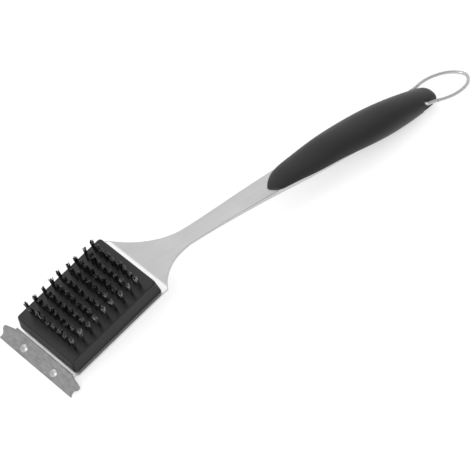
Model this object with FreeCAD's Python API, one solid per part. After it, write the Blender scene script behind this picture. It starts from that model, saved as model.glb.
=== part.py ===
import FreeCAD, Part
import math
import os

os.makedirs("parts", exist_ok=True)

Vector = FreeCAD.Vector
Y_AXIS = Vector(0, 1, 0)
Z_AXIS = Vector(0, 0, 1)

# All sizes are in millimetres. Shapes are drawn in the head frame: X runs from the scraper to the
# handle, Z is the bristle side, and the origin is the block's front edge on the head plate.
# The last step stands the brush at rest, bristles up, on the scraper's edge and the grip's heel.

# Sheet steel
SHEET = 1.5
PLATE_HALF = 36.1
PLATE_FRONT = 1.4
FLANGE_HALF = 34.4
FLANGE_TILT = 24.0
FLANGE_LENGTH = 10.8
BEND_RADIUS = 3.0
NECK_BEND_RADIUS = 4.0
NECK_TILT = 23.2
NECK_BEND_X = 97.3
NECK_ARC_RADIUS = 60.0
NECK_ARC_END_X = 146.2
SHANK_HALF = 8.55
WALL_START_X = 150.0
SHOULDER_START = 0.3
SHOULDER_END = 1.4

# Handle line, sloping back from the head
HANDLE_TILT = 20.5
HANDLE_ORIGIN = Vector(97.2, 0, 0)

# Brush block and its tufts
BLOCK_LENGTH = 92.0
BLOCK_HALF = 34.0
BLOCK_HEIGHT = 13.0
BLOCK_INSET = 1.15
BLOCK_CORNER = 2.8
ROWS = 9
COLUMNS = 9
ROW_PITCH = 8.6
COLUMN_PITCH = 6.45
TUFT_HOLE_DEPTH = 6.5
TUFT_HOLE_RADIUS = 1.15
TUFT_ROOT_RADIUS = 1.1
TUFT_TIP_RADIUS = 1.35
TUFT_HEIGHT = 16.0
ANCHOR = (2.1, 0.3, 1.6)

# Fasteners
SCREW_SHANK = 1.75
SCREW_HEAD = 3.15
BLOCK_SCREW_REACH = 5.5
RIVET_X = -7.8
RIVET_Y = 17.5
RIVET_SHANK = 1.6
RIVET_HEAD = 3.7
RIVET_DOME = 1.3
RIVET_TAIL = 2.9
FIT = 0.05

# Scraper
SCRAPER_THICK = 1.5

# Grip screws, driven from behind through the core into the steel
FRONT_SCREW_U = 168.0
REAR_SCREW_U = 272.0
GRIP_SCREW_SHANK = 1.5
GRIP_SCREW_HEAD = 2.9
GRIP_SCREW_HEAD_DEPTH = 1.8
GRIP_SCREW_TIP = 1.2

# Grip and its hanging loop
PIVOT_U = 308.3
PIVOT_W = -2.6
RECESS_U = 303.4
TONGUE_HALF = 8.5
CORE_HALF = 7.6
WIRE_RADIUS = 1.4
LOOP_LENGTH = 59.0
LOOP_HALF = 10.8

# Grip core
CORE_START_U = 141.0
CORE_BLOCK_U = 286.0
CORE_END_U = 313.5

# Rest pose
REST_TILT = 16.225
FLOOR_Z = 9.79
CENTRE_X = 223.13


def tilted(shape, degrees, origin):
    """Turns a shape drawn at the origin down by an angle about Y and moves it to a point."""
    turned = shape.copy()
    turned.rotate(Vector(0, 0, 0), Y_AXIS, degrees)
    turned.translate(origin)
    return turned


def in_handle(shape):
    """Puts a shape drawn along the handle line into the head frame."""
    return tilted(shape, HANDLE_TILT, HANDLE_ORIGIN)


def handle_point(u, w, y=0.0):
    """A point u along and w above the handle line, in the head frame."""
    a = math.radians(HANDLE_TILT)
    return Vector(
        HANDLE_ORIGIN.x + u * math.cos(a) + w * math.sin(a), y, w * math.cos(a) - u * math.sin(a)
    )


def direction(degrees):
    """A unit vector in the XZ plane, turned down from X by an angle."""
    a = math.radians(degrees)
    return Vector(math.cos(a), 0, -math.sin(a))


def normal(degrees):
    """The unit vector square to direction(), on the bristle side."""
    a = math.radians(degrees)
    return Vector(math.sin(a), 0, math.cos(a))


def polygon_prism(points, thickness, z0):
    """A straight-edged prism along Z."""
    wire = Part.makePolygon([Vector(x, y, z0) for x, y in points + points[:1]])
    return Part.Face(wire).extrude(Vector(0, 0, thickness))


def rounded_rectangle(x0, x1, half, radius, z):
    """A closed wire: a rectangle with rounded corners in the plane at z."""
    k = radius * (1 - math.sqrt(0.5))
    edges = []
    corners = [(x1, half, -1, -1), (x0, half, 1, -1), (x0, -half, 1, 1), (x1, -half, -1, 1)]
    ends = []
    for x, y, sx, sy in corners:
        along = Vector(x + sx * radius, y, z)
        down = Vector(x, y + sy * radius, z)
        middle = Vector(x + sx * k, y + sy * k, z)
        first, last = (down, along) if sx * sy > 0 else (along, down)
        edges.append(Part.Arc(first, middle, last).toShape())
        ends.append((first, last))
    lines = [Part.makeLine(ends[i][1], ends[(i + 1) % 4][0]) for i in range(4)]
    ordered = [e for pair in zip(edges, lines) for e in pair]
    return Part.Wire(ordered)


# ---------------------------------------------------------------- steel body

# Height of the steel's top face above the handle line, from the neck to the steel's end
STEEL_LINE = [(30, -1.4), (50, -1.9), (75, -1.2), (101, -0.3), (136, 0.5), (180, 0.9),
              (206, 1.0), (254, 0.2), (290, -1.4)]
# Depth of the channel's side walls below the top face
WALL_LINE = [(30, 1.5), (50, 1.5), (78, 1.9), (101, 2.6), (136, 3.8), (160, 5.8), (183, 7.3),
             (206, 8.0), (254, 8.4), (290, 8.4)]
# Half width of the steel along X, from the neck to its end
SHANK_LINE = [(146.2, 8.55), (160, 8.65), (190, 9.45), (224, 10.6), (260, 11.1),
              (300, 11.6), (335, 11.2), (361, 9.6)]


def steel_curve(depth):
    """The handle's side curve at a depth under the top face, from the bend to the steel's end."""
    start = handle_bend_end(depth)
    points = [start] + [handle_point(u, w - depth) for u, w in STEEL_LINE]
    curve = Part.BSplineCurve()
    tail = direction(HANDLE_TILT + 3.0)
    curve.interpolate(Points=points, InitialTangent=direction(NECK_TILT), FinalTangent=tail)
    return curve


def handle_bend_end(depth):
    """Where the neck bend meets the sloping neck, at a depth under the top face."""
    half = math.radians(NECK_TILT / 2)
    reach = NECK_BEND_RADIUS * math.tan(half)
    top = Vector(NECK_BEND_X, 0, 0) + direction(NECK_TILT) * reach
    return top - normal(NECK_TILT) * depth


def flange_start(depth):
    """Where the front bend meets the flange, at a depth under the top face."""
    a = math.radians(FLANGE_TILT)
    r = BEND_RADIUS - depth
    return Vector(-1.5 - r * math.sin(a), 0, r * math.cos(a) - BEND_RADIUS)


def bend_middle(x, radius, degrees, depth):
    """The middle point of a bend that starts at x and turns down by an angle."""
    a = math.radians(degrees / 2)
    r = radius - depth
    return Vector(x + r * math.sin(a), 0, r * math.cos(a) - radius)


def side_edges(depth):
    """The sheet's side curve at one depth, from the flange's end to the steel's end."""
    flange = flange_start(depth)
    outward = Vector(-math.cos(math.radians(FLANGE_TILT)), 0, -math.sin(math.radians(FLANGE_TILT)))
    front = flange + outward * FLANGE_LENGTH
    flat_front = Vector(-1.5, 0, -depth)
    half = math.radians(NECK_TILT / 2)
    flat_rear = Vector(NECK_BEND_X - NECK_BEND_RADIUS * math.tan(half), 0, -depth)
    front_middle = bend_middle(-1.5, BEND_RADIUS, -FLANGE_TILT, depth)
    rear_middle = bend_middle(flat_rear.x, NECK_BEND_RADIUS, NECK_TILT, depth)
    return [
        Part.makeLine(front, flange),
        Part.Arc(flange, front_middle, flat_front).toShape(),
        Part.makeLine(flat_front, flat_rear),
        Part.Arc(flat_rear, rear_middle, handle_bend_end(depth)).toShape(),
        steel_curve(depth).toShape(),
    ]


def side_slab(top_edges, bottom_edges, half):
    """Extrudes the band between two side curves across the whole width."""
    top_start = top_edges[0].firstVertex().Point
    top_end = top_edges[-1].lastVertex().Point
    bottom_start = bottom_edges[0].firstVertex().Point
    bottom_end = bottom_edges[-1].lastVertex().Point
    edges = top_edges + [Part.makeLine(top_end, bottom_end)] + bottom_edges
    edges = edges + [Part.makeLine(bottom_start, top_start)]
    face = Part.Face(Part.Wire(Part.__sortEdges__(edges)))
    slab = face.extrude(Vector(0, 2 * half, 0))
    slab.translate(Vector(0, -half, 0))
    return slab


def shank_side(sign, grow):
    """One side of the handle's plan outline, grown or shrunk by a margin."""
    points = [Vector(x, sign * (half + grow), 0) for x, half in SHANK_LINE]
    curve = Part.BSplineCurve()
    curve.interpolate(Points=points, InitialTangent=Vector(1, 0, 0))
    return curve


def body_outline():
    """The whole stamping seen from above, as a face."""
    edges = []
    centre_y = SHANK_HALF + NECK_ARC_RADIUS
    rise = centre_y - PLATE_HALF
    corner_x = NECK_ARC_END_X - math.sqrt(NECK_ARC_RADIUS ** 2 - rise ** 2)
    for sign in (1, -1):
        mid_x = NECK_ARC_END_X - 0.5 * (NECK_ARC_END_X - corner_x)
        mid_y = centre_y - math.sqrt(NECK_ARC_RADIUS ** 2 - (NECK_ARC_END_X - mid_x) ** 2)
        flange = Vector(-30, sign * FLANGE_HALF, 0)
        step_in = Vector(PLATE_FRONT - 2.2, sign * FLANGE_HALF, 0)
        step_out = Vector(PLATE_FRONT, sign * PLATE_HALF, 0)
        corner = Vector(corner_x, sign * PLATE_HALF, 0)
        neck_middle = Vector(mid_x, sign * mid_y, 0)
        neck_end = Vector(NECK_ARC_END_X, sign * SHANK_HALF, 0)
        edges.append(Part.makeLine(flange, step_in))
        edges.append(Part.makeLine(step_in, step_out))
        edges.append(Part.makeLine(step_out, corner))
        edges.append(Part.Arc(corner, neck_middle, neck_end).toShape())
        edges.append(shank_side(sign, 0.0).toShape())
    edges.append(Part.makeLine(Vector(-30, -FLANGE_HALF, 0), Vector(-30, FLANGE_HALF, 0)))
    x_end, half_end = SHANK_LINE[-1]
    edges.append(Part.makeLine(Vector(x_end, -half_end, 0), Vector(x_end, half_end, 0)))
    return Part.Face(Part.Wire(Part.__sortEdges__(edges)))


def shank_outline(grow, x_start):
    """The handle part of the outline behind x_start, grown or shrunk, as a face."""
    x_end = SHANK_LINE[-1][0]
    sides = [shank_side(sign, grow) for sign in (1, -1)]
    edges = [curve.toShape() for curve in sides]
    first = [edge.firstVertex().Point for edge in edges]
    last = [edge.lastVertex().Point for edge in edges]
    edges.append(Part.makeLine(first[0], first[1]))
    edges.append(Part.makeLine(last[0], last[1]))
    face = Part.Face(Part.Wire(Part.__sortEdges__(edges)))
    keep = Part.makeBox(x_end - x_start + 10, 80, 200, Vector(x_start, -40, -160))
    solid = face.extrude(Vector(0, 0, 200))
    solid.translate(Vector(0, 0, -160))
    return solid.common(keep)


def wall_curve(grow):
    """The lower edge of the neck and of the channel's walls as a side curve, lowered by a margin."""
    points = [handle_bend_end(SHEET + grow)]
    for u, wall in WALL_LINE:
        points.append(handle_point(u, steel_height(u) - wall - grow))
    curve = Part.BSplineCurve()
    tail = direction(HANDLE_TILT + 3.0)
    curve.interpolate(Points=points, InitialTangent=direction(NECK_TILT), FinalTangent=tail)
    return curve


def steel_height(u):
    """Height of the steel's top face above the handle line at u."""
    curve = steel_curve(0.0)
    cut = handle_point(u, 0.0)
    plane = Part.Plane(cut, direction(HANDLE_TILT))
    hits = plane.intersect(curve)
    points = hits[0] if isinstance(hits, tuple) else hits
    hit = Vector(points[0].X, points[0].Y, points[0].Z)
    return (hit - cut).dot(normal(HANDLE_TILT))


def channel_solid(grow, top_gap):
    """The handle channel as a filled bar, from the wall start to the steel's end."""
    top = steel_curve(-top_gap)
    bottom = wall_curve(grow)
    slab = side_slab([top.toShape()], [bottom.toShape()], 40.0)
    return slab.common(shank_outline(grow, WALL_START_X))


def channel_hollow(inset):
    """The space inside the channel, inset from its outer faces."""
    top = steel_curve(inset)
    floor = Part.makeLine(handle_point(-20, -60), handle_point(330, -60))
    slab = side_slab([top.toShape()], [floor], 40.0)
    return slab.common(shank_outline(-inset, WALL_START_X))


def shoulder_edges(shape):
    """One long edge on each side of the channel's top face."""
    found = []
    for sign in (1, -1):
        best = None
        for edge in shape.Edges:
            box = edge.BoundBox
            on_side = sign * box.Center.y > 8 and box.YLength < 5 and box.XLength > 150
            if on_side and (best is None or box.ZMax > best.BoundBox.ZMax):
                best = edge
        found.append(best)
    return found


def make_steel_body():
    """Head plate, front flange, flared neck and handle channel, stamped from one sheet."""
    lower = side_edges(SHEET)[:4] + [wall_curve(0.0).toShape()]
    prism = body_outline().extrude(Vector(0, 0, 200))
    prism.translate(Vector(0, 0, -160))
    body = side_slab(side_edges(0.0), lower, 60.0).common(prism)
    body = body.makeFillet(SHOULDER_START, SHOULDER_END, shoulder_edges(body))
    body = body.cut(channel_hollow(SHEET))
    holes = [countersunk(x, y, FIT) for x, y in block_screw_places()]
    holes += [on_flange(rivet_hole(y)) for y in (-RIVET_Y, RIVET_Y)]
    holes += [grip_screw_hole(u) for u in (FRONT_SCREW_U, REAR_SCREW_U)]
    return body.cut(Part.makeCompound(holes))



def on_flange(shape):
    """Puts a shape drawn flat, with X toward the handle, onto the front flange's top face."""
    return tilted(shape, -FLANGE_TILT, flange_start(0.0))


# ---------------------------------------------------------------- fasteners


def block_screw_places():
    """Centres of the four block screws."""
    return [(x, y) for x in (18.0, BLOCK_LENGTH - 18.0) for y in (-22.0, 22.0)]


def countersunk(x, y, gap):
    """A countersunk screw's outline from the plate's back, grown by a gap."""
    head = Part.makeCone(SCREW_HEAD + gap, SCREW_SHANK + gap, SHEET, Vector(x, y, -SHEET))
    shank = Part.makeCylinder(SCREW_SHANK + gap, BLOCK_SCREW_REACH + gap, Vector(x, y, -0.1))
    return head.fuse(shank)


def cross_recess(size, depth):
    """A cross-shaped driver recess, drawn at the origin and sinking along +Z."""
    bars = []
    for wide, long in ((0.7, size), (size, 0.7)):
        bar = Part.makeBox(wide, long, depth, Vector(-wide / 2, -long / 2, 0))
        bars.append(bar)
    return bars[0].fuse(bars[1])


def make_block_screws():
    """Four flush screws that hold the block from behind."""
    screws = []
    for x, y in block_screw_places():
        recess = cross_recess(3.0, 1.1)
        recess.translate(Vector(x, y, -SHEET))
        screws.append(countersunk(x, y, 0.0).cut(recess))
    return Part.makeCompound(screws)


def rivet_hole(y):
    """The hole for one scraper rivet, through blade and flange."""
    start = Vector(RIVET_X, y, -SHEET - 1)
    return Part.makeCylinder(RIVET_SHANK + FIT, SHEET + SCRAPER_THICK + 2, start)


def make_scraper_rivets():
    """Two domed rivets with flat tails behind the flange."""
    rivets = []
    dome_radius = (RIVET_HEAD ** 2 + RIVET_DOME ** 2) / (2 * RIVET_DOME)
    for y in (-RIVET_Y, RIVET_Y):
        shank = Part.makeCylinder(
            RIVET_SHANK, SHEET + SCRAPER_THICK + 0.6, Vector(RIVET_X, y, -SHEET - 0.3)
        )
        centre = Vector(RIVET_X, y, SCRAPER_THICK + RIVET_DOME - dome_radius)
        ball = Part.makeSphere(dome_radius, centre)
        keep = Part.makeCylinder(RIVET_HEAD, RIVET_DOME, Vector(RIVET_X, y, SCRAPER_THICK))
        tail = Part.makeCylinder(RIVET_TAIL, 1.1, Vector(RIVET_X, y, -SHEET - 1.1))
        tail = tail.makeChamfer(0.5, [tail.Edges[2]])
        rivets.append(on_flange(shank.fuse([ball.common(keep), tail])))
    return Part.makeCompound(rivets)


# ---------------------------------------------------------------- head


def make_scraper_blade():
    """The scraper: a flat blade with a waist behind its two pointed ears."""
    side = [(-0.4, 33.4), (-1.2, 36.6), (-2.0, 39.4), (-2.8, 42.8), (-4.4, 44.8), (-6.6, 44.1),
            (-9.4, 41.6), (-13.6, 42.6)]
    edges = []
    for sign in (1, -1):
        p = [Vector(x, sign * y, 0) for x, y in side]
        edges.append(Part.Arc(p[0], p[1], p[3]).toShape())
        edges.append(Part.Arc(p[3], p[3] + (p[4] - p[3]) * 0.5 + Vector(0.35, 0, 0), p[4]).toShape())
        edges.append(Part.makeLine(p[4], p[5]))
        edges.append(Part.Arc(p[5], p[6], p[7]).toShape())
        edges.append(Part.makeLine(Vector(0.9, sign * 33.4, 0), p[0]))
    edges.append(Part.makeLine(Vector(0.9, -33.4, 0), Vector(0.9, 33.4, 0)))
    edges.append(Part.makeLine(Vector(-13.6, -42.6, 0), Vector(-13.6, 42.6, 0)))
    blade = Part.Face(Part.Wire(Part.__sortEdges__(edges))).extrude(Vector(0, 0, SCRAPER_THICK))
    holes = [rivet_hole(y) for y in (-RIVET_Y, RIVET_Y)]
    return on_flange(blade.cut(Part.makeCompound(holes)))


def tuft_places():
    """Rows of tuft centres: one list of (x, y) for each row, front row first."""
    rows = []
    for i in range(ROWS):
        x = BLOCK_LENGTH / 2 + (i - (ROWS - 1) / 2) * ROW_PITCH
        rows.append([(x, (j - (COLUMNS - 1) / 2) * COLUMN_PITCH) for j in range(COLUMNS)])
    return rows


def make_brush_block():
    """The moulded block, drawn in toward its top, with a blind hole for every tuft."""
    base = rounded_rectangle(0, BLOCK_LENGTH, BLOCK_HALF, BLOCK_CORNER, 0)
    top = rounded_rectangle(
        BLOCK_INSET, BLOCK_LENGTH - BLOCK_INSET, BLOCK_HALF - BLOCK_INSET, BLOCK_CORNER,
        BLOCK_HEIGHT,
    )
    block = Part.makeLoft([base, top], True, True)
    rim = [e for e in block.Edges if e.BoundBox.ZMin > BLOCK_HEIGHT - 0.01]
    block = block.makeFillet(1.0, rim)
    hole_z = BLOCK_HEIGHT - TUFT_HOLE_DEPTH
    cuts = []
    for row in tuft_places():
        for x, y in row:
            cuts.append(Part.makeCylinder(TUFT_HOLE_RADIUS, TUFT_HOLE_DEPTH + 1, Vector(x, y, hole_z)))
    for x, y in block_screw_places():
        cuts.append(Part.makeCylinder(SCREW_SHANK + FIT, BLOCK_SCREW_REACH + 0.3, Vector(x, y, 0)))
    cuts.append(Part.makeBox(2.0, 9.0, 1.2, Vector(-1.0, -4.5, 0)))
    return block.cut(Part.makeCompound(cuts))


def make_tuft_row(row):
    """One row of bristle tufts, each a slightly spreading bundle standing on its anchor."""
    tufts = []
    root_z = BLOCK_HEIGHT - TUFT_HOLE_DEPTH + ANCHOR[2]
    for x, y in row:
        root = Part.makeCylinder(TUFT_ROOT_RADIUS, BLOCK_HEIGHT - root_z, Vector(x, y, root_z))
        top = Part.makeCone(TUFT_ROOT_RADIUS, TUFT_TIP_RADIUS, TUFT_HEIGHT, Vector(x, y, BLOCK_HEIGHT))
        tufts.append(root.fuse(top))
    return Part.makeCompound(tufts)


def make_tuft_anchors():
    """The flat staple at the bottom of every tuft hole."""
    staples = []
    wide, thick, tall = ANCHOR
    for row in tuft_places():
        for x, y in row:
            corner = Vector(x - thick / 2, y - wide / 2, BLOCK_HEIGHT - TUFT_HOLE_DEPTH)
            staples.append(Part.makeBox(thick, wide, tall, corner))
    return Part.makeCompound(staples)


# ---------------------------------------------------------------- grip

# The grip's outer form along the handle line: (distance, sideways set, height of the
# widest line, half width, crown above that line, belly below it)
GRIP_FORM = [
    (134.0, -3.7, 0.8, 1.4, 0.5, 0.8), (136.8, -3.6, 0.8, 4.2, 1.6, 1.2),
    (140.0, -3.4, 0.7, 6.8, 2.5, 1.6), (145.0, -2.4, 0.4, 9.1, 3.5, 2.0),
    (153.0, -0.9, 0.2, 11.0, 4.6, 2.4), (163.0, -0.2, 0.0, 12.4, 5.7, 3.0),
    (183.0, -0.1, 0.1, 14.5, 7.9, 4.0), (206.0, -0.1, 0.5, 15.9, 10.4, 5.2),
    (230.0, -0.2, 0.0, 16.9, 10.8, 8.5), (254.0, -0.3, -1.0, 16.8, 11.3, 11.8),
    (272.0, -0.4, -2.1, 15.6, 11.5, 12.6), (288.0, -0.5, -3.0, 14.1, 10.3, 12.1),
    (300.0, -0.6, -3.6, 12.8, 8.7, 11.0), (310.0, -0.7, -4.1, 11.6, 6.9, 9.6),
    (317.0, -0.8, -4.5, 10.4, 5.5, 8.0), (321.0, -0.8, -4.7, 8.7, 4.4, 6.2),
    (323.3, -0.8, -4.8, 6.0, 2.9, 3.9), (324.0, -0.8, -4.9, 3.0, 1.5, 1.9),
]


def grip_section(u, side, height, half, crown, belly):
    """One cross-section of the grip: two half ellipses that share their widest line."""
    points = []
    for a in [math.radians(degrees) for degrees in range(0, 360, 15)]:
        rise = crown if math.sin(a) >= 0 else belly
        points.append(Vector(u, side + half * math.cos(a), height + rise * math.sin(a)))
    curve = Part.BSplineCurve()
    curve.interpolate(Points=points, PeriodicFlag=True)
    return Part.Wire(curve.toShape())


def grip_form():
    """The grip's whole outer form in the head frame."""
    return in_handle(Part.makeLoft([grip_section(*s) for s in GRIP_FORM], True, False))


def loop_recesses():
    """The step at each side of the grip's end that the loop's legs lie in."""
    wide = 20.0
    boxes = []
    for y in (TONGUE_HALF, -TONGUE_HALF - wide):
        boxes.append(Part.makeBox(40, wide, 60, Vector(RECESS_U, y, -30)))
    return in_handle(Part.makeCompound(boxes))


def pivot_bore(radius, half):
    """A bar along the loop's pivot axis."""
    bar = Part.makeCylinder(radius, 2 * half, Vector(PIVOT_U, -half, PIVOT_W), Y_AXIS)
    return in_handle(bar)


def core_bar(grow):
    """The grip core's filled outline: the channel's filling and the block behind the steel."""
    inside = channel_hollow(SHEET - grow + FIT)
    limit = channel_solid(-0.4 + grow, 0.0)
    filling = inside.common(limit)
    front = in_handle(Part.makeBox(140, 60, 60, Vector(CORE_START_U - 140, -30, -30)))
    filling = filling.cut(front)
    neck = Part.makeBox(CORE_BLOCK_U - 269, 15.0 + 2 * grow, 4.5 + 2 * grow,
                        Vector(270, -7.5 - grow, -8.7 - grow))
    half = CORE_HALF + grow
    block = Part.makeBox(CORE_END_U - CORE_BLOCK_U + grow, 2 * half, 8.4 + 2 * grow,
                         Vector(CORE_BLOCK_U, -half, -9.0 - grow))
    upright = [e for e in block.Edges if abs(e.tangentAt(e.FirstParameter).y) > 0.9]
    rounded = block.makeFillet(2.0, [e for e in upright if e.BoundBox.Center.x > CORE_BLOCK_U + 5])
    return filling.fuse([in_handle(neck), in_handle(rounded)])


def grip_screw(u, gap):
    """One grip screw's outline, with its tip above the steel and its head behind the core."""
    tip = steel_height(u) + GRIP_SCREW_TIP
    seat = grip_screw_seat(u)
    shank = Part.makeCylinder(GRIP_SCREW_SHANK + gap, tip - seat + gap, Vector(u, 0, seat))
    head = Part.makeCylinder(GRIP_SCREW_HEAD + gap, GRIP_SCREW_HEAD_DEPTH + gap,
                             Vector(u, 0, seat - GRIP_SCREW_HEAD_DEPTH - gap))
    return in_handle(shank.fuse(head))


def grip_screw_seat(u):
    """Height of the seat under a grip screw's head."""
    return -3.6 if u < 200 else -6.4


def grip_screw_hole(u):
    """The hole through the steel for one grip screw."""
    hole = Part.makeCylinder(GRIP_SCREW_SHANK + FIT, 12, Vector(u, 0, steel_height(u) - 6))
    return in_handle(hole)


def screw_well(u, radius):
    """The open well behind a grip screw's head."""
    return in_handle(Part.makeCylinder(radius, 30, Vector(u, 0, grip_screw_seat(u) - 30)))


def make_grip_screw(u):
    """A pan-head screw driven from behind through the core into the steel."""
    recess = cross_recess(2.6, 1.1)
    recess.translate(Vector(u, 0, grip_screw_seat(u) - GRIP_SCREW_HEAD_DEPTH))
    return grip_screw(u, 0.0).cut(in_handle(recess))


def make_grip_core():
    """The rigid insert that fills the channel and carries the loop's two ends."""
    core = core_bar(0.0)
    cuts = [pivot_bore(WIRE_RADIUS + FIT, 30)]
    for u in (FRONT_SCREW_U, REAR_SCREW_U):
        cuts.append(grip_screw(u, FIT))
        cuts.append(screw_well(u, GRIP_SCREW_HEAD + 0.2))
    return core.cut(Part.makeCompound(cuts))


def make_grip_cover():
    """The soft grip, moulded over the channel and the core."""
    cover = grip_form().cut(loop_recesses())
    cuts = [channel_solid(FIT, FIT), core_bar(FIT), pivot_bore(WIRE_RADIUS + 0.35, 30)]
    for u in (FRONT_SCREW_U, REAR_SCREW_U):
        cuts.append(grip_screw(u, FIT))
    cuts.append(screw_well(REAR_SCREW_U, GRIP_SCREW_HEAD + 0.4))
    for cut in cuts:
        cover = cover.cut(cut)
    return cover


# ---------------------------------------------------------------- hanging loop


def loop_angle():
    """How far the loop hangs below the head plate's plane with its tip on the floor."""
    pivot = handle_point(PIVOT_U, PIVOT_W)
    a = math.radians(REST_TILT)
    height = pivot.x * math.sin(a) + pivot.z * math.cos(a) + FLOOR_Z
    return REST_TILT + math.degrees(math.asin((height - WIRE_RADIUS) / LOOP_LENGTH))


def make_hang_loop():
    """The bent wire loop, whose two inward ends turn in the core."""
    side = [(13, 12.6), (27, 14.5), (41, 13.1), (52, 8.8)]
    bend = 2.2
    start = Vector(0, LOOP_HALF - bend, 0)
    end = Vector(bend, LOOP_HALF, 0)
    k = bend * (1 - math.sqrt(0.5))
    points = [end] + [Vector(x, y, 0) for x, y in side] + [Vector(LOOP_LENGTH, 0, 0)]
    points += [Vector(x, -y, 0) for x, y in reversed(side)] + [Vector(bend, -LOOP_HALF, 0)]
    curve = Part.BSplineCurve()
    curve.interpolate(Points=points, InitialTangent=Vector(1, 0, 0), FinalTangent=Vector(-1, 0, 0))
    edges = [
        Part.makeLine(Vector(0, 4.6, 0), start),
        Part.Arc(start, Vector(k, LOOP_HALF - k, 0), end).toShape(),
        curve.toShape(),
        Part.Arc(Vector(bend, -LOOP_HALF, 0), Vector(k, k - LOOP_HALF, 0), -start).toShape(),
        Part.makeLine(-start, Vector(0, -4.6, 0)),
    ]
    path = Part.Wire(edges)
    ring = Part.Wire(Part.Circle(Vector(0, 4.6, 0), Y_AXIS, WIRE_RADIUS).toShape())
    wire = path.makePipeShell([ring], True, True, 2)
    return tilted(wire, loop_angle(), handle_point(PIVOT_U, PIVOT_W))


# ---------------------------------------------------------------- hand over


def at_rest(shape):
    """Turns a shape from the head frame to the rest pose, base centre at the origin."""
    placed = shape.copy()
    placed.rotate(Vector(0, 0, 0), Y_AXIS, -REST_TILT)
    placed.translate(Vector(-CENTRE_X, 0, FLOOR_Z))
    return placed


def main():
    nodes = {
        "steel_body": make_steel_body(),
        "scraper_blade": make_scraper_blade(),
        "scraper_rivets": make_scraper_rivets(),
        "brush_block": make_brush_block(),
        "tuft_anchors": make_tuft_anchors(),
        "block_screws": make_block_screws(),
        "grip_core": make_grip_core(),
        "grip_cover": make_grip_cover(),
        "grip_screw_front": make_grip_screw(FRONT_SCREW_U),
        "grip_screw_rear": make_grip_screw(REAR_SCREW_U),
        "hang_loop": make_hang_loop(),
    }
    for number, row in enumerate(tuft_places(), start=1):
        nodes[f"tufts_row_{number}"] = make_tuft_row(row)
    for name, shape in nodes.items():
        at_rest(shape).exportStep(f"parts/{name}.step")


main()
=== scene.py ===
"""Looks for a grill cleaning brush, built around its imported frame."""

import logging
import math
import random
from dataclasses import dataclass, field
from enum import Enum

import bpy
from mathutils import Matrix, Quaternion, Vector

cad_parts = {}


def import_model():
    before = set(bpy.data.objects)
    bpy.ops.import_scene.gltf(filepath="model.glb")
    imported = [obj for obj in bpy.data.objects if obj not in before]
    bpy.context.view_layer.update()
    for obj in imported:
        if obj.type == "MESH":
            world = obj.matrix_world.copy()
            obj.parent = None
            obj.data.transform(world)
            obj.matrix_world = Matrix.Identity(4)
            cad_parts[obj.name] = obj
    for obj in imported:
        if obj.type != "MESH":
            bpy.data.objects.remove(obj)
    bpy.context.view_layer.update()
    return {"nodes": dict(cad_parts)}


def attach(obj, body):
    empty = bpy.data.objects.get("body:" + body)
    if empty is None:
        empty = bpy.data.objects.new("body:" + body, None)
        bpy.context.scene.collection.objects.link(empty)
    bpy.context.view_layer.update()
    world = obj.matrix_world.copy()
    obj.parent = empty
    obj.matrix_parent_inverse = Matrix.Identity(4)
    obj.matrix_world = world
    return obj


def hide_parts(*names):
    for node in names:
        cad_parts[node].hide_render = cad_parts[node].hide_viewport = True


LOG = logging.getLogger("grill_brush")
MM = 0.001
BODY = "brush"
EDGE_WIDTH = 0.001
EDGE_SAMPLES = 6
EDGE_TURNED = 0.75
EDGE_FLAT = 0.995
METAL_ROUGHNESS_SPREAD = (0.8, 1.25)
MOULD_ROUGHNESS_SPREAD = (0.85, 1.15)
SHEEN_ROUGHNESS = 0.5
# Where the painted shade in the grip's leg recesses goes, and its near-black colour.
RECESS_START = 0.17130
RECESS_SIDE = 0.00842
RECESS_AXIS = (0.99719, 0.0, -0.07496)
RECESS_SHADE_COLOUR = (0.0008, 0.0008, 0.0008, 1)
PLAIN_CELLS = (60.0, 60.0, 60.0)
CLOUD_CELLS = (28.0, 40.0, 40.0)
PATCH_CELLS = (35.0, 35.0, 35.0)
GRAIN_BUMP = (0.12, 0.00003)
MOULD_DEPTH = 0.00005
BRISTLE_CREASE = 50.0


# ---------------------------------------------------------------- working in Blender


def deselect() -> None:
    """Leaves object mode's selection empty."""
    if bpy.context.object and bpy.context.object.mode != "OBJECT":
        bpy.ops.object.mode_set(mode="OBJECT")
    bpy.ops.object.select_all(action="DESELECT")


def choose(obj: bpy.types.Object) -> None:
    """Makes one object the only selected and active one."""
    deselect()
    obj.select_set(True)
    bpy.context.view_layer.objects.active = obj


def leave_edit() -> None:
    """Goes back to object mode."""
    bpy.ops.object.mode_set(mode="OBJECT")


def duplicate(obj: bpy.types.Object) -> bpy.types.Object:
    """Copies an object with its own mesh.

    Args:
        obj: The object to copy.

    Returns:
        The copy, linked to the scene.
    """
    copy = obj.copy()
    copy.data = obj.data.copy()
    bpy.context.scene.collection.objects.link(copy)
    return copy


def join(objects: list[bpy.types.Object], name: str) -> bpy.types.Object:
    """Joins meshes into one and names it.

    Args:
        objects: The meshes; the first one keeps its place.
        name: The joined piece's name.

    Returns:
        The joined object.
    """
    deselect()
    for obj in objects:
        obj.select_set(True)
    bpy.context.view_layer.objects.active = objects[0]
    bpy.ops.object.join()
    joined = bpy.context.object
    joined.name = name
    joined.data.name = name
    return joined


def bake_place(obj: bpy.types.Object) -> None:
    """Moves the object's place, turn and scale into its mesh."""
    choose(obj)
    bpy.ops.object.transform_apply(location=True, rotation=True, scale=True)


# ---------------------------------------------------------------- finishes


class Grain(Enum):
    """Which way a metal's brushing runs."""

    ALONG = (14.0, 900.0, 26.0)
    MOTTLED = (620.0, 230.0, 400.0)
    NONE = (0.0, 0.0, 0.0)


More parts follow.
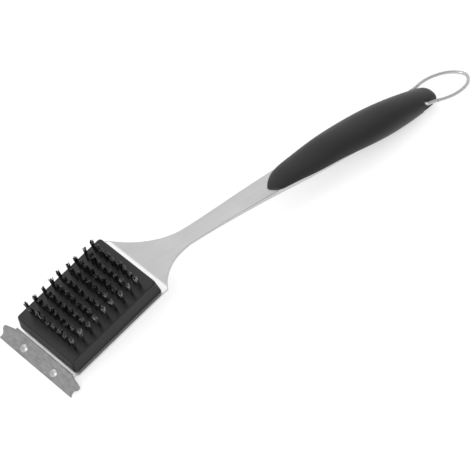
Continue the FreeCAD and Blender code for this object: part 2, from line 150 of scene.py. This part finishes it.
def principled(name: str) -> tuple[bpy.types.Material, bpy.types.Node]:
    """Starts a material with one Principled shader.

    Args:
        name: The material's name.

    Returns:
        The material and its shader node.
    """
    material = bpy.data.materials.new(name)
    material.use_nodes = True
    return material, material.node_tree.nodes["Principled BSDF"]


def add_node(material: bpy.types.Material, kind: str, **settings: object) -> bpy.types.Node:
    """Adds a shader node and sets its attributes.

    Args:
        material: The material to add to.
        kind: The node's Blender type name.
        **settings: Attributes to set on the node.

    Returns:
        The new node.
    """
    node = material.node_tree.nodes.new(kind)
    for key, value in settings.items():
        setattr(node, key, value)
    return node


def surface_noise(
    material: bpy.types.Material, scale: tuple[float, float, float], detail: float
) -> bpy.types.Node:
    """Adds noise on object coordinates, stretched by an axis scale.

    Args:
        material: The material to add to.
        scale: Noise cells per metre along each axis.
        detail: The noise's octaves.

    Returns:
        The noise node.
    """
    coords = add_node(material, "ShaderNodeTexCoord")
    mapping = add_node(material, "ShaderNodeMapping")
    mapping.inputs["Scale"].default_value = scale
    noise = add_node(material, "ShaderNodeTexNoise")
    noise.inputs["Scale"].default_value = 1.0
    noise.inputs["Detail"].default_value = detail
    links = material.node_tree.links
    links.new(coords.outputs["Object"], mapping.inputs["Vector"])
    links.new(mapping.outputs["Vector"], noise.inputs["Vector"])
    return noise


def ramp_between(
    material: bpy.types.Material, source: bpy.types.NodeSocket, low: float, high: float
) -> bpy.types.NodeSocket:
    """Maps a 0 to 1 factor onto a range of values.

    Args:
        material: The material to add to.
        source: The factor's socket.
        low: The value at 0.
        high: The value at 1.

    Returns:
        The mapped value's socket.
    """
    node = add_node(material, "ShaderNodeMapRange")
    node.inputs["To Min"].default_value = low
    node.inputs["To Max"].default_value = high
    material.node_tree.links.new(source, node.inputs["Value"])
    return node.outputs["Result"]


def bump_from(
    material: bpy.types.Material, shader: bpy.types.Node, height: bpy.types.NodeSocket,
    strength: float, distance: float,
) -> None:
    """Feeds a height into the shader's normal through a bump node.

    Args:
        material: The material to add to.
        shader: The Principled shader.
        height: The height's socket.
        strength: The bump's strength.
        distance: The bump's depth in metres.
    """
    bump = add_node(material, "ShaderNodeBump")
    bump.inputs["Strength"].default_value = strength
    bump.inputs["Distance"].default_value = distance
    material.node_tree.links.new(height, bump.inputs["Height"])
    material.node_tree.links.new(bump.outputs["Normal"], shader.inputs["Normal"])


@dataclass(frozen=True)
class MetalFinish:
    """Bare steel, brushed or smooth."""

    name: str
    shade: float
    roughness: float
    grain: Grain = Grain.NONE
    contrast: float = 0.0
    metallic: float = 1.0
    cloud: float = 0.0
    edge_shade: float = 0.0

    def build(self) -> bpy.types.Material:
        """Makes the material.

        Returns:
            The finished material.
        """
        material, shader = principled(self.name)
        shader.inputs["Metallic"].default_value = self.metallic
        shader.inputs["Roughness"].default_value = self.roughness
        cells = PLAIN_CELLS if self.grain is Grain.NONE else self.grain.value
        links = material.node_tree.links
        noise = surface_noise(material, cells, 3.0)
        low, high = METAL_ROUGHNESS_SPREAD
        rough = ramp_between(
            material, noise.outputs["Fac"], self.roughness * low, self.roughness * high
        )
        links.new(rough, shader.inputs["Roughness"])
        patches = surface_noise(material, CLOUD_CELLS, 1.0)
        fine = ramp_between(material, noise.outputs["Fac"], 1 - self.contrast, 1 + self.contrast)
        broad = ramp_between(material, patches.outputs["Fac"], 1 - self.cloud, 1 + self.cloud)
        tone = add_node(material, "ShaderNodeMath", operation="MULTIPLY")
        links.new(fine, tone.inputs[0])
        links.new(broad, tone.inputs[1])
        colour = add_node(material, "ShaderNodeMix", data_type="RGBA", blend_type="MULTIPLY")
        colour.inputs[0].default_value = 1.0
        colour.inputs[6].default_value = (self.shade, self.shade, self.shade, 1)
        # Painted shade darkens the rounded edges of the sheet.
        if self.edge_shade > 0:
            tone = self.painted_edge_shade(material, tone)
        links.new(tone.outputs[0], colour.inputs[7])
        links.new(colour.outputs[2], shader.inputs["Base Color"])
        if self.grain is not Grain.NONE:
            bump_from(material, shader, noise.outputs["Fac"], *GRAIN_BUMP)
        return material

    def painted_edge_shade(self, material: bpy.types.Material, tone: bpy.types.Node) -> bpy.types.Node:
        """Paints shade along the sheet's rounded edges, darker where the bevelled normal turns
        away from the flat face.

        Args:
            material: The material to add to.
            tone: The node that gives the tone away from the edges.

        Returns:
            The node that gives the tone with the painted edge shade.
        """
        links = material.node_tree.links
        rounded = add_node(material, "ShaderNodeBevel", samples=EDGE_SAMPLES)
        rounded.inputs["Radius"].default_value = EDGE_WIDTH
        flat = add_node(material, "ShaderNodeNewGeometry")
        turn = add_node(material, "ShaderNodeVectorMath", operation="DOT_PRODUCT")
        links.new(rounded.outputs["Normal"], turn.inputs[0])
        links.new(flat.outputs["Normal"], turn.inputs[1])
        edge_shading = add_node(material, "ShaderNodeMapRange")
        edge_shading.inputs["From Min"].default_value = EDGE_TURNED
        edge_shading.inputs["From Max"].default_value = EDGE_FLAT
        edge_shading.inputs["To Min"].default_value = 1 - self.edge_shade
        edge_shading.inputs["To Max"].default_value = 1.0
        links.new(turn.outputs["Value"], edge_shading.inputs["Value"])
        edge_shaded = add_node(material, "ShaderNodeMath", operation="MULTIPLY")
        links.new(tone.outputs[0], edge_shaded.inputs[0])
        links.new(edge_shading.outputs["Result"], edge_shaded.inputs[1])
        return edge_shaded


@dataclass(frozen=True)
class MouldedFinish:
    """Moulded plastic or soft rubber with a fine surface texture."""

    name: str
    colour: tuple[float, float, float]
    roughness: float
    texture: float = 0.0
    cells: float = 1800.0
    sheen: float = 0.0
    level: float = 0.5
    ior: float = 1.5
    recess_shade: bool = False

    def build(self) -> bpy.types.Material:
        """Makes the material.

        Returns:
            The finished material.
        """
        material, shader = principled(self.name)
        shader.inputs["Base Color"].default_value = (*self.colour, 1)
        shader.inputs["Roughness"].default_value = self.roughness
        shader.inputs["Specular IOR Level"].default_value = self.level
        shader.inputs["IOR"].default_value = self.ior
        shader.inputs["Sheen Weight"].default_value = self.sheen
        shader.inputs["Sheen Roughness"].default_value = SHEEN_ROUGHNESS
        if self.texture > 0:
            noise = surface_noise(material, (self.cells,) * 3, 2.0)
            bump_from(material, shader, noise.outputs["Fac"], self.texture, MOULD_DEPTH)
            patches = surface_noise(material, PATCH_CELLS, 2.0)
            low, high = MOULD_ROUGHNESS_SPREAD
            rough = ramp_between(
                material, patches.outputs["Fac"], self.roughness * low, self.roughness * high
            )
            material.node_tree.links.new(rough, shader.inputs["Roughness"])
        # Painted shade: the leg recesses at the grip's tail are coloured near-black for the shadow
        # in them.
        if self.recess_shade:
            self.paint_recess_shade(material, shader)
        return material

    def paint_recess_shade(self, material: bpy.types.Material, shader: bpy.types.Node) -> None:
        """Paints shade into the two steps that the loop's legs lie in, as a near-black colour.

        Args:
            material: The material to add to.
            shader: The Principled shader.
        """
        links = material.node_tree.links
        coords = add_node(material, "ShaderNodeTexCoord")
        along = add_node(material, "ShaderNodeVectorMath", operation="DOT_PRODUCT")
        along.inputs[1].default_value = RECESS_AXIS
        links.new(coords.outputs["Object"], along.inputs[0])
        behind = add_node(material, "ShaderNodeMath", operation="GREATER_THAN")
        behind.inputs[1].default_value = RECESS_START
        links.new(along.outputs["Value"], behind.inputs[0])
        split = add_node(material, "ShaderNodeSeparateXYZ")
        links.new(coords.outputs["Object"], split.inputs["Vector"])
        side = add_node(material, "ShaderNodeMath", operation="ABSOLUTE")
        links.new(split.outputs["Y"], side.inputs[0])
        beside = add_node(material, "ShaderNodeMath", operation="GREATER_THAN")
        beside.inputs[1].default_value = RECESS_SIDE
        links.new(side.outputs[0], beside.inputs[0])
        inside = add_node(material, "ShaderNodeMath", operation="MULTIPLY")
        links.new(behind.outputs[0], inside.inputs[0])
        links.new(beside.outputs[0], inside.inputs[1])
        colour = add_node(material, "ShaderNodeMix", data_type="RGBA")
        colour.inputs[6].default_value = (*self.colour, 1)
        colour.inputs[7].default_value = RECESS_SHADE_COLOUR
        links.new(inside.outputs[0], colour.inputs[0])
        links.new(colour.outputs[2], shader.inputs["Base Color"])


# The edge setting is how far painted shade darkens each metal's rounded edges.
STEEL = MetalFinish(
    "brushed_steel", shade=0.54, roughness=0.32, grain=Grain.ALONG,
    contrast=0.08, metallic=0.90, cloud=0.14, edge_shade=0.65,
)
SCRAPER_STEEL = MetalFinish(
    "scraper_steel", shade=0.35, roughness=0.40, grain=Grain.MOTTLED,
    contrast=0.34, metallic=0.95, cloud=0.22, edge_shade=0.45,
)
RIVET_STEEL = MetalFinish("rivet_steel", shade=0.46, roughness=0.42, edge_shade=0.5)
SCREW_STEEL = MetalFinish("screw_steel", shade=0.45, roughness=0.35)
WIRE_STEEL = MetalFinish("loop_wire", shade=0.46, roughness=0.28, metallic=0.65)
BLOCK_PLASTIC = MouldedFinish(
    "block_plastic", colour=(0.006, 0.006, 0.006), roughness=0.40, texture=0.25, level=0.30
)
CORE_PLASTIC = MouldedFinish("core_plastic", colour=(0.02, 0.02, 0.02), roughness=0.5, texture=0.2)
SOFT_GRIP = MouldedFinish(
    "soft_grip", colour=(0.009, 0.009, 0.009), roughness=0.5, texture=0.3,
    cells=2600.0, sheen=0.06, level=0.32, recess_shade=True,
)
BRISTLE = MouldedFinish("bristle", colour=(0.003, 0.003, 0.003), roughness=0.17, ior=2.4)

DRESSING = {
    "steel_body": STEEL,
    "scraper_blade": SCRAPER_STEEL,
    "scraper_rivets": RIVET_STEEL,
    "brush_block": BLOCK_PLASTIC,
    "tuft_anchors": SCREW_STEEL,
    "block_screws": SCREW_STEEL,
    "grip_core": CORE_PLASTIC,
    "grip_cover": SOFT_GRIP,
    "grip_screw_front": SCREW_STEEL,
    "grip_screw_rear": SCREW_STEEL,
    "hang_loop": WIRE_STEEL,
}


@dataclass
class Workshop:
    """Makes each finish once and dresses pieces with it."""

    made: dict[str, bpy.types.Material] = field(default_factory=dict)

    def material(self, finish: MetalFinish | MouldedFinish) -> bpy.types.Material:
        """Gives the material for a finish, made on first use.

        Args:
            finish: The finish to make.

        Returns:
            Its material.
        """
        if finish.name not in self.made:
            self.made[finish.name] = finish.build()
        return self.made[finish.name]

    def dress(self, obj: bpy.types.Object, finish: MetalFinish | MouldedFinish) -> None:
        """Gives a whole piece one finish."""
        obj.data.materials.clear()
        obj.data.materials.append(self.material(finish))


# ---------------------------------------------------------------- the head's own frame


@dataclass(frozen=True)
class HeadFrame:
    """Where the head plate's own axes stand when the brush is at rest, in millimetres."""

    tilt: float = 16.225
    centre: float = 223.13
    floor: float = 9.79

    def place(self) -> Matrix:
        """The matrix that carries head millimetres to metres at rest."""
        turn = Matrix.Rotation(math.radians(-self.tilt), 4, "Y")
        move = Matrix.Translation(Vector((-self.centre, 0.0, self.floor)) * MM)
        return move @ turn @ Matrix.Scale(MM, 4)


HEAD = HeadFrame()


# ---------------------------------------------------------------- bristles


@dataclass
class BristleField:
    """Nine rows of nine tufts, each a bundle of springy bristles."""

    workshop: Workshop
    rows: int = 9
    columns: int = 9
    row_pitch: float = 8.6
    column_pitch: float = 6.45
    block_length: float = 92.0
    block_height: float = 13.0
    root_depth: float = 3.5
    height: float = 15.1
    bristle_radius: float = 0.29
    bundle_radius: float = 1.0
    splay: float = 3.6
    stray: float = 0.38
    bristles: int = 22
    kinds: int = 9
    tuft_lean: float = 2.6
    jostle: float = 0.4
    length_range: tuple[float, float] = (0.90, 1.0)
    reach_range: tuple[float, float] = (0.3, 1.1)
    curl_range: tuple[float, float] = (0.2, 0.9)
    rings: tuple[tuple[float, float], ...] = (
        (1.0, 1.0), (1.0, 1.0), (1.0, 0.96), (0.94, 0.92), (0.06, 0.42),
    )
    seed: int = 11

    def bristle(self) -> bpy.types.Object:
        """Models one bristle standing at the origin, in millimetres.

        Returns:
            The bristle.
        """
        deselect()
        bpy.ops.mesh.primitive_circle_add(
            vertices=6, radius=self.bristle_radius, fill_type="NGON",
            location=(0, 0, -self.root_depth),
        )
        obj = bpy.context.object
        bake_place(obj)
        bpy.ops.object.mode_set(mode="EDIT")
        bpy.ops.mesh.select_all(action="SELECT")
        step = (self.height + self.root_depth) / 4
        for share, shrink in self.rings:
            lift = step * share
            bpy.ops.mesh.extrude_region_move(TRANSFORM_OT_translate={"value": (0, 0, lift)})
            bpy.ops.transform.resize(value=(shrink, shrink, 1.0))
        bpy.ops.mesh.select_all(action="SELECT")
        bpy.ops.mesh.normals_make_consistent(inside=False)
        leave_edit()
        return obj

    def bent(self, obj: bpy.types.Object, lean: Vector, curl: float) -> None:
        """Leans a bristle sideways, more toward its tip.

        Args:
            obj: The bristle, standing at its root.
            lean: How far the tip moves sideways, in millimetres.
            curl: How much of the lean is kept for the upper part.
        """
        for vertex in obj.data.vertices:
            rise = max(0.0, vertex.co.z) / self.height
            share = (1 - curl) * rise + curl * rise * rise
            vertex.co.x += lean.x * share
            vertex.co.y += lean.y * share

    def tuft(self, draw: random.Random, master: bpy.types.Object) -> bpy.types.Object:
        """Bundles copies of the bristle into one tuft, packed at its root and loose at its tip.

        Args:
            draw: The random source.
            master: The bristle to copy.

        Returns:
            One tuft standing at the origin, in millimetres.
        """
        members = []
        golden = math.pi * (3 - math.sqrt(5))
        reach = math.tan(math.radians(self.splay)) * self.height
        for i in range(self.bristles):
            spread = math.sqrt((i + 0.5) / self.bristles)
            angle = i * golden + draw.uniform(-self.jostle, self.jostle)
            out = Vector((math.cos(angle), math.sin(angle))) * spread
            stray = Vector((draw.gauss(0, self.stray), draw.gauss(0, self.stray)))
            copy = duplicate(master)
            copy.data.transform(Matrix.Scale(draw.uniform(*self.length_range), 4, (0, 0, 1)))
            copy.data.transform(Matrix.Rotation(draw.uniform(0, math.pi), 4, "Z"))
            lean = out * reach * draw.uniform(*self.reach_range) + stray
            self.bent(copy, lean, draw.uniform(*self.curl_range))
            copy.data.transform(Matrix.Translation((*(out * self.bundle_radius), 0)))
            members.append(copy)
        return join(members, "tuft")

    def build(self) -> list[bpy.types.Object]:
        """Models the tufts and stands them in their rows.

        Returns:
            One piece for each row.
        """
        draw = random.Random(self.seed)
        master = self.bristle()
        kinds = [self.tuft(draw, master) for _ in range(self.kinds)]
        bpy.data.objects.remove(master)
        pieces = []
        for i in range(self.rows):
            x = self.block_length / 2 + (i - (self.rows - 1) / 2) * self.row_pitch
            row = []
            for j in range(self.columns):
                y = (j - (self.columns - 1) / 2) * self.column_pitch
                copy = duplicate(draw.choice(kinds))
                turn = Matrix.Rotation(draw.uniform(0, 2 * math.pi), 4, "Z")
                lean = Matrix.Rotation(math.radians(draw.gauss(0, self.tuft_lean)), 4, "X")
                sway = Matrix.Rotation(math.radians(draw.gauss(0, self.tuft_lean)), 4, "Y")
                spot = Matrix.Translation((x, y, self.block_height))
                copy.data.transform(HEAD.place() @ spot @ lean @ sway @ turn)
                row.append(copy)
            piece = join(row, f"bristles_row_{i + 1}")
            self.workshop.dress(piece, BRISTLE)
            choose(piece)
            bpy.ops.object.shade_smooth_by_angle(angle=math.radians(BRISTLE_CREASE))
            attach(piece, BODY)
            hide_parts(f"tufts_row_{i + 1}")
            LOG.info("%s: %d faces", piece.name, len(piece.data.polygons))
            pieces.append(piece)
        for kind in kinds:
            bpy.data.objects.remove(kind)
        return pieces


# ---------------------------------------------------------------- studio


@dataclass(frozen=True)
class SoftBox:
    """One large soft light, aimed at a point."""

    name: str
    spot: tuple[float, float, float]
    size: tuple[float, float]
    power: float
    aim: tuple[float, float, float] = (0.0, 0.0, 0.02)

    def build(self) -> None:
        """Hangs the light."""
        lamp = bpy.data.lights.new(self.name, "AREA")
        lamp.shape = "RECTANGLE"
        lamp.size, lamp.size_y = self.size
        lamp.energy = self.power
        holder = bpy.data.objects.new(self.name, lamp)
        bpy.context.scene.collection.objects.link(holder)
        holder.location = self.spot
        toward = Vector(self.aim) - Vector(self.spot)
        holder.rotation_euler = toward.to_track_quat("-Z", "Y").to_euler()


@dataclass(frozen=True)
class GreyCloth:
    """A grey cloth hung in one direction, which takes light out of the surround."""

    toward: tuple[float, float, float]
    inner: float
    outer: float
    depth: float

    def build(self, tree: bpy.types.NodeTree, view: bpy.types.NodeSocket) -> bpy.types.NodeSocket:
        """Makes the cloth's share of the surround.

        Args:
            tree: The surround's node tree.
            view: The direction's socket.

        Returns:
            A factor's socket, 1 away from the cloth.
        """
        facing = tree.nodes.new("ShaderNodeVectorMath")
        facing.operation = "DOT_PRODUCT"
        facing.inputs[1].default_value = Vector(self.toward).normalized()
        tree.links.new(view, facing.inputs[0])
        fade = tree.nodes.new("ShaderNodeMapRange")
        fade.interpolation_type = "SMOOTHSTEP"
        fade.inputs["From Min"].default_value = math.cos(math.radians(self.outer))
        fade.inputs["From Max"].default_value = math.cos(math.radians(self.inner))
        fade.inputs["To Min"].default_value = 1.0
        fade.inputs["To Max"].default_value = 1.0 - self.depth
        tree.links.new(facing.outputs["Value"], fade.inputs["Value"])
        return fade.outputs["Result"]


@dataclass
class Studio:
    """A plain pale floor, soft lights and the camera."""

    floor_size: float = 12.0
    floor_drop: float = 0.0002
    floor_shade: float = 0.66
    floor_glow: float = 0.42
    floor_roughness: float = 0.9
    floor_gloss: float = 0.1
    sky: float = 1.05
    lights: tuple[SoftBox, ...] = (
        SoftBox("back_box", (-0.5, 1.4, 1.9), (1.3, 1.0), 6.5),
        SoftBox("front_box", (-1.6, -1.5, 1.9), (1.6, 1.2), 34.0),
    )
    cloths: tuple[GreyCloth, ...] = (
        GreyCloth((-0.75, 0.46, 0.48), 8.0, 42.0, 0.42),
        GreyCloth((0.56, -0.45, 0.60), 10.0, 50.0, 0.62),
    )
    eye: tuple[float, float, float] = (-0.94619, -1.05716, 1.41927)
    forward: tuple[float, float, float] = (0.459136, 0.529843, -0.713064)
    roll: float = -2.475
    lens: float = 191.49
    sensor: float = 36.0
    far_clip: float = 30.0

    def build(self) -> None:
        """Builds floor, lights, sky and camera."""
        self.build_floor()
        for light in self.lights:
            light.build()
        self.build_sky()
        self.build_camera()

    def build_floor(self) -> None:
        """Lays the floor under the brush."""
        deselect()
        bpy.ops.mesh.primitive_plane_add(
            size=self.floor_size, location=(0, 0, -self.floor_drop)
        )
        floor = bpy.context.object
        floor.name = "studio_floor"
        material, shader = principled("studio_floor")
        shade = self.floor_shade
        shader.inputs["Base Color"].default_value = (shade, shade, shade, 1)
        shader.inputs["Roughness"].default_value = self.floor_roughness
        shader.inputs["Specular IOR Level"].default_value = self.floor_gloss
        shader.inputs["Emission Color"].default_value = (1, 1, 1, 1)
        shader.inputs["Emission Strength"].default_value = self.floor_glow
        floor.data.materials.append(material)
        bake_place(floor)

    def build_sky(self) -> None:
        """Sets a soft white surround, toned down by its grey cloths."""
        world = bpy.data.worlds.new("studio_sky")
        world.use_nodes = True
        tree = world.node_tree
        back = tree.nodes["Background"]
        back.inputs["Strength"].default_value = self.sky
        view = tree.nodes.new("ShaderNodeTexCoord").outputs["Generated"]
        tone = None
        for cloth in self.cloths:
            share = cloth.build(tree, view)
            if tone is None:
                tone = share
                continue
            both = tree.nodes.new("ShaderNodeMath")
            both.operation = "MULTIPLY"
            tree.links.new(tone, both.inputs[0])
            tree.links.new(share, both.inputs[1])
            tone = both.outputs[0]
        tree.links.new(tone, back.inputs["Color"])
        bpy.context.scene.world = world
        bpy.context.scene.view_settings.view_transform = "Standard"

    def build_camera(self) -> None:
        """Sets the camera on its stand."""
        camera = bpy.data.cameras.new("camera")
        camera.lens = self.lens
        camera.sensor_width = self.sensor
        camera.clip_end = self.far_clip
        stand = bpy.data.objects.new("camera", camera)
        bpy.context.scene.collection.objects.link(stand)
        stand.location = self.eye
        look = Vector(self.forward).to_track_quat("-Z", "Y")
        turn = Quaternion((0.0, 0.0, 1.0), math.radians(self.roll))
        stand.rotation_euler = (look @ turn).to_euler()
        bpy.context.scene.camera = stand


# ---------------------------------------------------------------- dressing and building


def dress_frame(frame: dict, workshop: Workshop) -> None:
    """Gives every shown frame node its finish.

    Args:
        workshop: Makes the materials.
    """
    for name, node in frame["nodes"].items():
        if name in DRESSING:
            material = workshop.material(DRESSING[name])
            for place in node.material_slots:
                place.material = material


def main() -> None:
    """Builds every sub-assembly in order and reports it."""
    logging.basicConfig(level=logging.INFO, format="%(message)s")
    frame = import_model()
    workshop = Workshop()
    dress_frame(frame, workshop)
    BristleField(workshop).build()
    Studio().build()


if __name__ == "__main__":
    main()
